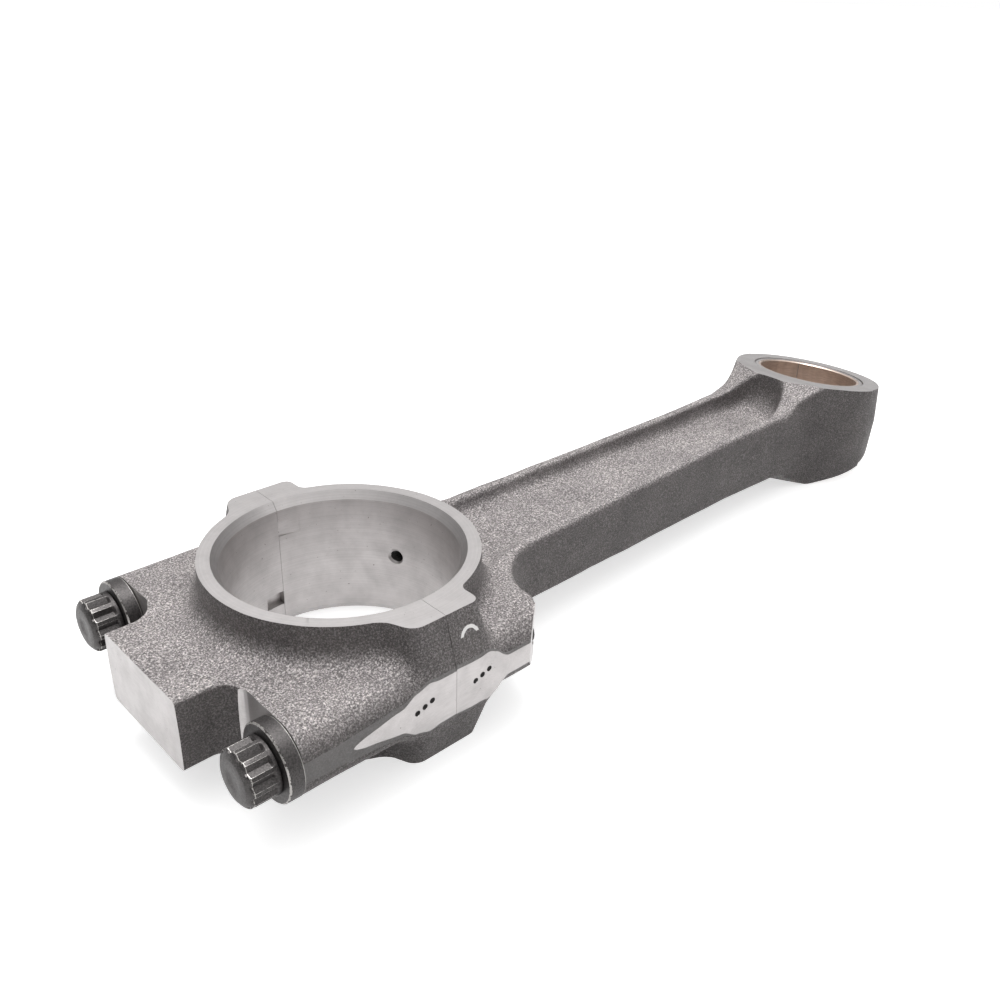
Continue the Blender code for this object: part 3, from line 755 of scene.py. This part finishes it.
def bolt_shape(grip, engagement, height):
    """A twelve-point cap screw. Its seat is at x = 0 and its head reaches to x = -height."""
    shape = bmesh.new()
    wear = shape.verts.layers.float.new("wear")
    turns = [30 * lobe + turn for lobe in range(12) for turn in (-15, -9.5, -5, -4, -3, 3, 4, 5, 9.5)]
    around = len(turns)
    rows = []

    def ring(x, radius_at, worn=0.0):
        """One more turn of points at x, with a radius for each angle."""
        row = []
        for turn in turns:
            angle = math.radians(turn)
            radius = radius_at(turn)
            vertex = shape.verts.new((x, radius * math.cos(angle), radius * math.sin(angle)))
            vertex[wear] = worn
            row.append(vertex)
        rows.append(row)
        return row

    def lobed(x, cut, worn, edge):
        """A turn of the head's outline, its points cut back, with its lobes' edges worn more."""
        row = ring(x, lambda turn: min(lobe_radius(turn), HEAD_RADIUS - cut), worn)
        for turn, vertex in zip(turns, row):
            if abs((turn + 15) % 30 - 15) == TIP_HALF_ANGLE:
                vertex[wear] = max(worn, edge)

    end = shape.verts.new((-height + 0.3, 0, 0))
    ring(-height + 0.3, lambda turn: 2.6)
    ring(-height + 0.08, lambda turn: 3.4)
    ring(-height, lambda turn: 4.0)
    ring(-height, lambda turn: HEAD_RADIUS - 2.8)
    ring(-height + 0.15, lambda turn: HEAD_RADIUS - 2.3, 0.2)
    lobed(-height + 0.95, 0.9, 0.0, 0.2)
    lobed(-height + 1.4, 0.4, 0.3, 0.6)
    lobed(-height + 1.75, 0.1, 0.75, 1.0)
    lobed(-height + 2.15, 0.0, 0.0, 0.9)
    lobed(-height / 2, 0.0, 0.0, 0.8)
    lobed(-1.9, 0.0, 0.0, 0.7)
    ring(-1.45, lambda turn: lobe_radius(turn) * 0.3 + HEAD_RADIUS * 0.7)
    ring(-1.2, lambda turn: HEAD_RADIUS)
    ring(-0.25, lambda turn: HEAD_RADIUS)
    ring(0.0, lambda turn: HEAD_RADIUS - 0.3)
    ring(0.0, lambda turn: BOLT_RADIUS + 0.25)
    ring(0.35, lambda turn: BOLT_RADIUS)
    shank = BOLT_RADIUS - 0.15
    thread_from, thread_to = grip, grip + engagement
    ring(thread_from - 1.0, lambda turn: shank)
    for x in np.arange(thread_from, thread_to, THREAD_PITCH / 8):
        fade = min(1.0, (x - thread_from) / 1.5)
        point = min(1.0, (thread_to - x) / 1.2)

        def radius_at(turn):
            phase = (x / THREAD_PITCH - turn / 360) % 1
            tooth = min(1.0, max(0.0, abs(phase - 0.5) * 2.6 - 0.15))
            return (shank - THREAD_DEPTH * tooth * fade) * (0.86 + 0.14 * point)

        ring(x, radius_at)
    tip = shape.verts.new((thread_to, 0, 0))
    for one, two in zip(rows, rows[1:]):
        for step in range(around):
            after = (step + 1) % around
            shape.faces.new((one[step], one[after], two[after], two[step]))
    for step in range(around):
        after = (step + 1) % around
        shape.faces.new((end, rows[0][after], rows[0][step]))
        shape.faces.new((tip, rows[-1][step], rows[-1][after]))
    return shape


def washer_shape(thickness):
    """A thick hardened washer on x = 0, with both rims just broken."""
    bore, rim, edge = BOLT_HOLE, WASHER_RADIUS, 0.45
    profile = [
        (bore + 0.4, 0, 0), (rim - 0.5, 0, 0), (rim - 0.2, 0, 1), (rim, -0.2, 1), (rim, -0.45, 0),
        (rim, 1.0 - thickness, 0), (rim, edge - thickness, 0.6), (rim - edge, -thickness, 0.75),
        (rim - edge - 0.35, -thickness, 0), (bore + 0.5, -thickness, 0), (bore, 0.5 - thickness, 0),
        (bore, -0.4, 0),
    ]
    shape = bmesh.new()
    wear = shape.verts.layers.float.new("wear")
    steps = 96
    rows = []
    for radius, x, worn in profile:
        row = []
        for step in range(steps):
            angle = 2 * math.pi * step / steps
            vertex = shape.verts.new((x, radius * math.cos(angle), radius * math.sin(angle)))
            vertex[wear] = worn
            row.append(vertex)
        rows.append(row)
    for one, two in zip(rows, rows[1:] + rows[:1]):
        for step in range(steps):
            after = (step + 1) % steps
            shape.faces.new((one[step], one[after], two[after], two[step]))
    return shape


for side, name in ((1, "left"), (-1, "right")):
    washer = piece_from(
        f"washer_{name}_detail",
        washer_shape(WASHER_SEAT - WASHER_FACE),
        (WASHER_SEAT, side * BOLT_Y, 0),
        [washer_finish],
    )
    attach(washer, f"washer_{name}")
    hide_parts(f"bolt_washer_{name}")
    head_seat = WASHER_FACE - 0.3
    grip = BOLT_TIP - head_seat - ENGAGEMENT
    bolt = piece_from(
        f"bolt_{name}_detail",
        bolt_shape(grip, ENGAGEMENT, head_seat - HEAD_END),
        (head_seat, side * BOLT_Y, 0),
        [bolt_finish],
        24,
    )
    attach(bolt, f"bolt_{name}")
    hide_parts(f"cap_bolt_{name}")


# ---- Bush -------------------------------------------------------------------------------------------

def bush_shape():
    """A steel-backed bronze bush, tapered like the eye. Face material 0 is steel and 1 is bronze."""
    seam = math.radians(42)
    steps = [2 * math.pi * step / 144 for step in range(144)]
    steps = sorted(steps + [seam + math.radians(turn) for turn in (-0.55, -0.35, 0.35, 0.55)])
    lining = PIN_BORE + 1.15
    profile = [
        (BUSH_RADIUS, -0.5, 0), (BUSH_RADIUS - 0.5, 0, 0), (lining + 0.15, 0, 0), (lining, -0.25, 0),
        (lining - 0.15, -0.05, 1), (PIN_BORE + 0.55, -0.05, 1), (PIN_BORE, -0.6, 1),
    ]
    shape = bmesh.new()
    rows = []
    closed = [(r, d, m, 1) for r, d, m in profile] + [(r, d, m, -1) for r, d, m in reversed(profile)]
    for radius, drop, _, face in closed:
        row = []
        for angle in steps:
            r = radius
            if r < lining - 0.2 and abs(angle - seam) < math.radians(0.45):
                r += 0.5
            x = r * math.cos(angle)
            top = EYE_HALF_WIDTH - BUSH_RECESS - x * KEYSTONE + drop
            row.append(shape.verts.new((x, r * math.sin(angle), face * top)))
        rows.append(row)
    count = len(closed)
    for index in range(count):
        one, two = rows[index], rows[(index + 1) % count]
        material = max(closed[index][2], closed[(index + 1) % count][2])
        if index == count - 1:
            material = 0
        for step in range(len(steps)):
            after = (step + 1) % len(steps)
            face = shape.faces.new((one[step], one[after], two[after], two[step]))
            middle = (steps[step] + steps[step - len(steps) + 1]) / 2
            face.material_index = 0 if abs(middle - seam) < math.radians(0.5) else material
    return shape


bush = piece_from("bush_detail", bush_shape(), (CENTRES, 0, 0), [milled, bronze])
oil_hole = drill_tool("bush_oil_hole", OIL_RADIUS, (CENTRES, 0, 0), -BUSH_RADIUS - 5, 0, 32)
change = bush.modifiers.new("oil_hole", "BOOLEAN")
change.solver = "MANIFOLD"
change.object = oil_hole
bpy.context.view_layer.update()
bush.data = bpy.data.meshes.new_from_object(bush.evaluated_get(bpy.context.evaluated_depsgraph_get()))
bush.modifiers.clear()
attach(bush, "rod")
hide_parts("small_end_bushing")

for name in ("dowel_pin_left", "dowel_pin_right"):
    dowel = frame["nodes"][name]
    for slot in dowel.material_slots:
        slot.material = ground

for tool in list(tools.objects):
    bpy.data.objects.remove(tool)
bpy.data.collections.remove(tools)


# ---- Stage, light and camera ------------------------------------------------------------------------

FLOOR_RADIUS = 18
FLOOR_DROP = -0.0002
BACKDROP_RADIUS = 20
SKY = ((0.0, 0.03), (0.3, 0.13), (0.64, 0.80), (1.0, 1.45))
CAMERA_PLACE = (-170.9, -257.7, 205.3)
CAMERA_TURN = (62.545, -1.487, -43.083)
SENSOR_WIDTH = 36
FOCAL_LENGTH = 36.14


def stage_object(name, shape, material_name, grey, glow):
    """A piece of the stage from a bmesh in metres, in a plain grey that also glows."""
    mesh = bpy.data.meshes.new(name)
    shape.to_mesh(mesh)
    shape.free()
    n = Nodes(material_name)
    n.set(base_color=(grey, grey, grey, 1), roughness=0.9)
    n.set(emission_color=(1, 1, 1, 1), emission_strength=glow)
    n.shader.inputs["Specular IOR Level"].default_value = 0.0
    mesh.materials.append(n.material)
    made = bpy.data.objects.new(name, mesh)
    bpy.context.scene.collection.objects.link(made)
    return made


def add_floor():
    """A wide pale floor. It shows in bright metal, but its bounce does not fill the dark undersides."""
    shape = bmesh.new()
    bmesh.ops.create_circle(shape, cap_ends=True, segments=64, radius=FLOOR_RADIUS)
    floor = stage_object("floor", shape, "pale_floor", 0.8, 0.62)
    floor.location.z = FLOOR_DROP
    floor.visible_diffuse = False


def add_backdrop():
    """A white surround that only the camera sees."""
    shape = bmesh.new()
    bmesh.ops.create_uvsphere(shape, u_segments=48, v_segments=24, radius=BACKDROP_RADIUS)
    backdrop = stage_object("backdrop", shape, "white_surround", 0.0, 1.0)
    for kind in ("diffuse", "glossy", "transmission", "volume_scatter", "shadow"):
        setattr(backdrop, f"visible_{kind}", False)


def add_sun(name, direction, degrees, strength, only_gloss=False):
    """A distant soft light that shines from a direction, or just its gleam."""
    light = bpy.data.lights.new(name, "SUN")
    light.energy = strength
    light.angle = math.radians(degrees)
    holder = bpy.data.objects.new(name, light)
    holder.rotation_euler = Vector(direction).to_track_quat("Z", "Y").to_euler()
    holder.visible_diffuse = not only_gloss
    bpy.context.scene.collection.objects.link(holder)


def add_world(direction):
    """A studio that is bright overhead and behind, and dim on the other side."""
    world = bpy.data.worlds.new("studio")
    world.use_nodes = True
    tree = world.node_tree
    where = tree.nodes.new("ShaderNodeTexCoord")
    along = tree.nodes.new("ShaderNodeVectorMath")
    along.operation = "DOT_PRODUCT"
    along.inputs[1].default_value = Vector(direction).normalized()
    level = tree.nodes.new("ShaderNodeValToRGB")
    stops = level.color_ramp.elements
    for position, _ in SKY[1:-1]:
        stops.new(position)
    for stop, (position, grey) in zip(stops, SKY):
        stop.position = position
        stop.color = (grey, grey, grey, 1)
    tree.links.new(where.outputs["Generated"], along.inputs[0])
    tree.links.new(along.outputs["Value"], level.inputs["Fac"])
    tree.links.new(level.outputs["Color"], tree.nodes["Background"].inputs["Color"])
    bpy.context.scene.world = world


def add_camera():
    """The camera at the photograph's viewing angle, placed in millimetres from the crank centre."""
    camera = bpy.data.cameras.new("camera")
    camera.sensor_width = SENSOR_WIDTH
    camera.lens = FOCAL_LENGTH
    holder = bpy.data.objects.new("camera", camera)
    holder.location = ORIGIN + Vector(CAMERA_PLACE) * MM
    holder.rotation_euler = Euler([math.radians(turn) for turn in CAMERA_TURN])
    bpy.context.scene.collection.objects.link(holder)
    bpy.context.scene.camera = holder


add_floor()
add_backdrop()
add_world((0.12, 0.20, 0.97))
add_sun("key", (0.15, 0.25, 0.95), 35, 0.9)
add_sun("gleam", (-0.05, -0.08, 1.0), 25, 3.0, True)
add_sun("fill", (0.35, -0.80, 0.45), 50, 0.35)
add_camera()
bpy.context.scene.view_settings.view_transform = "Standard"
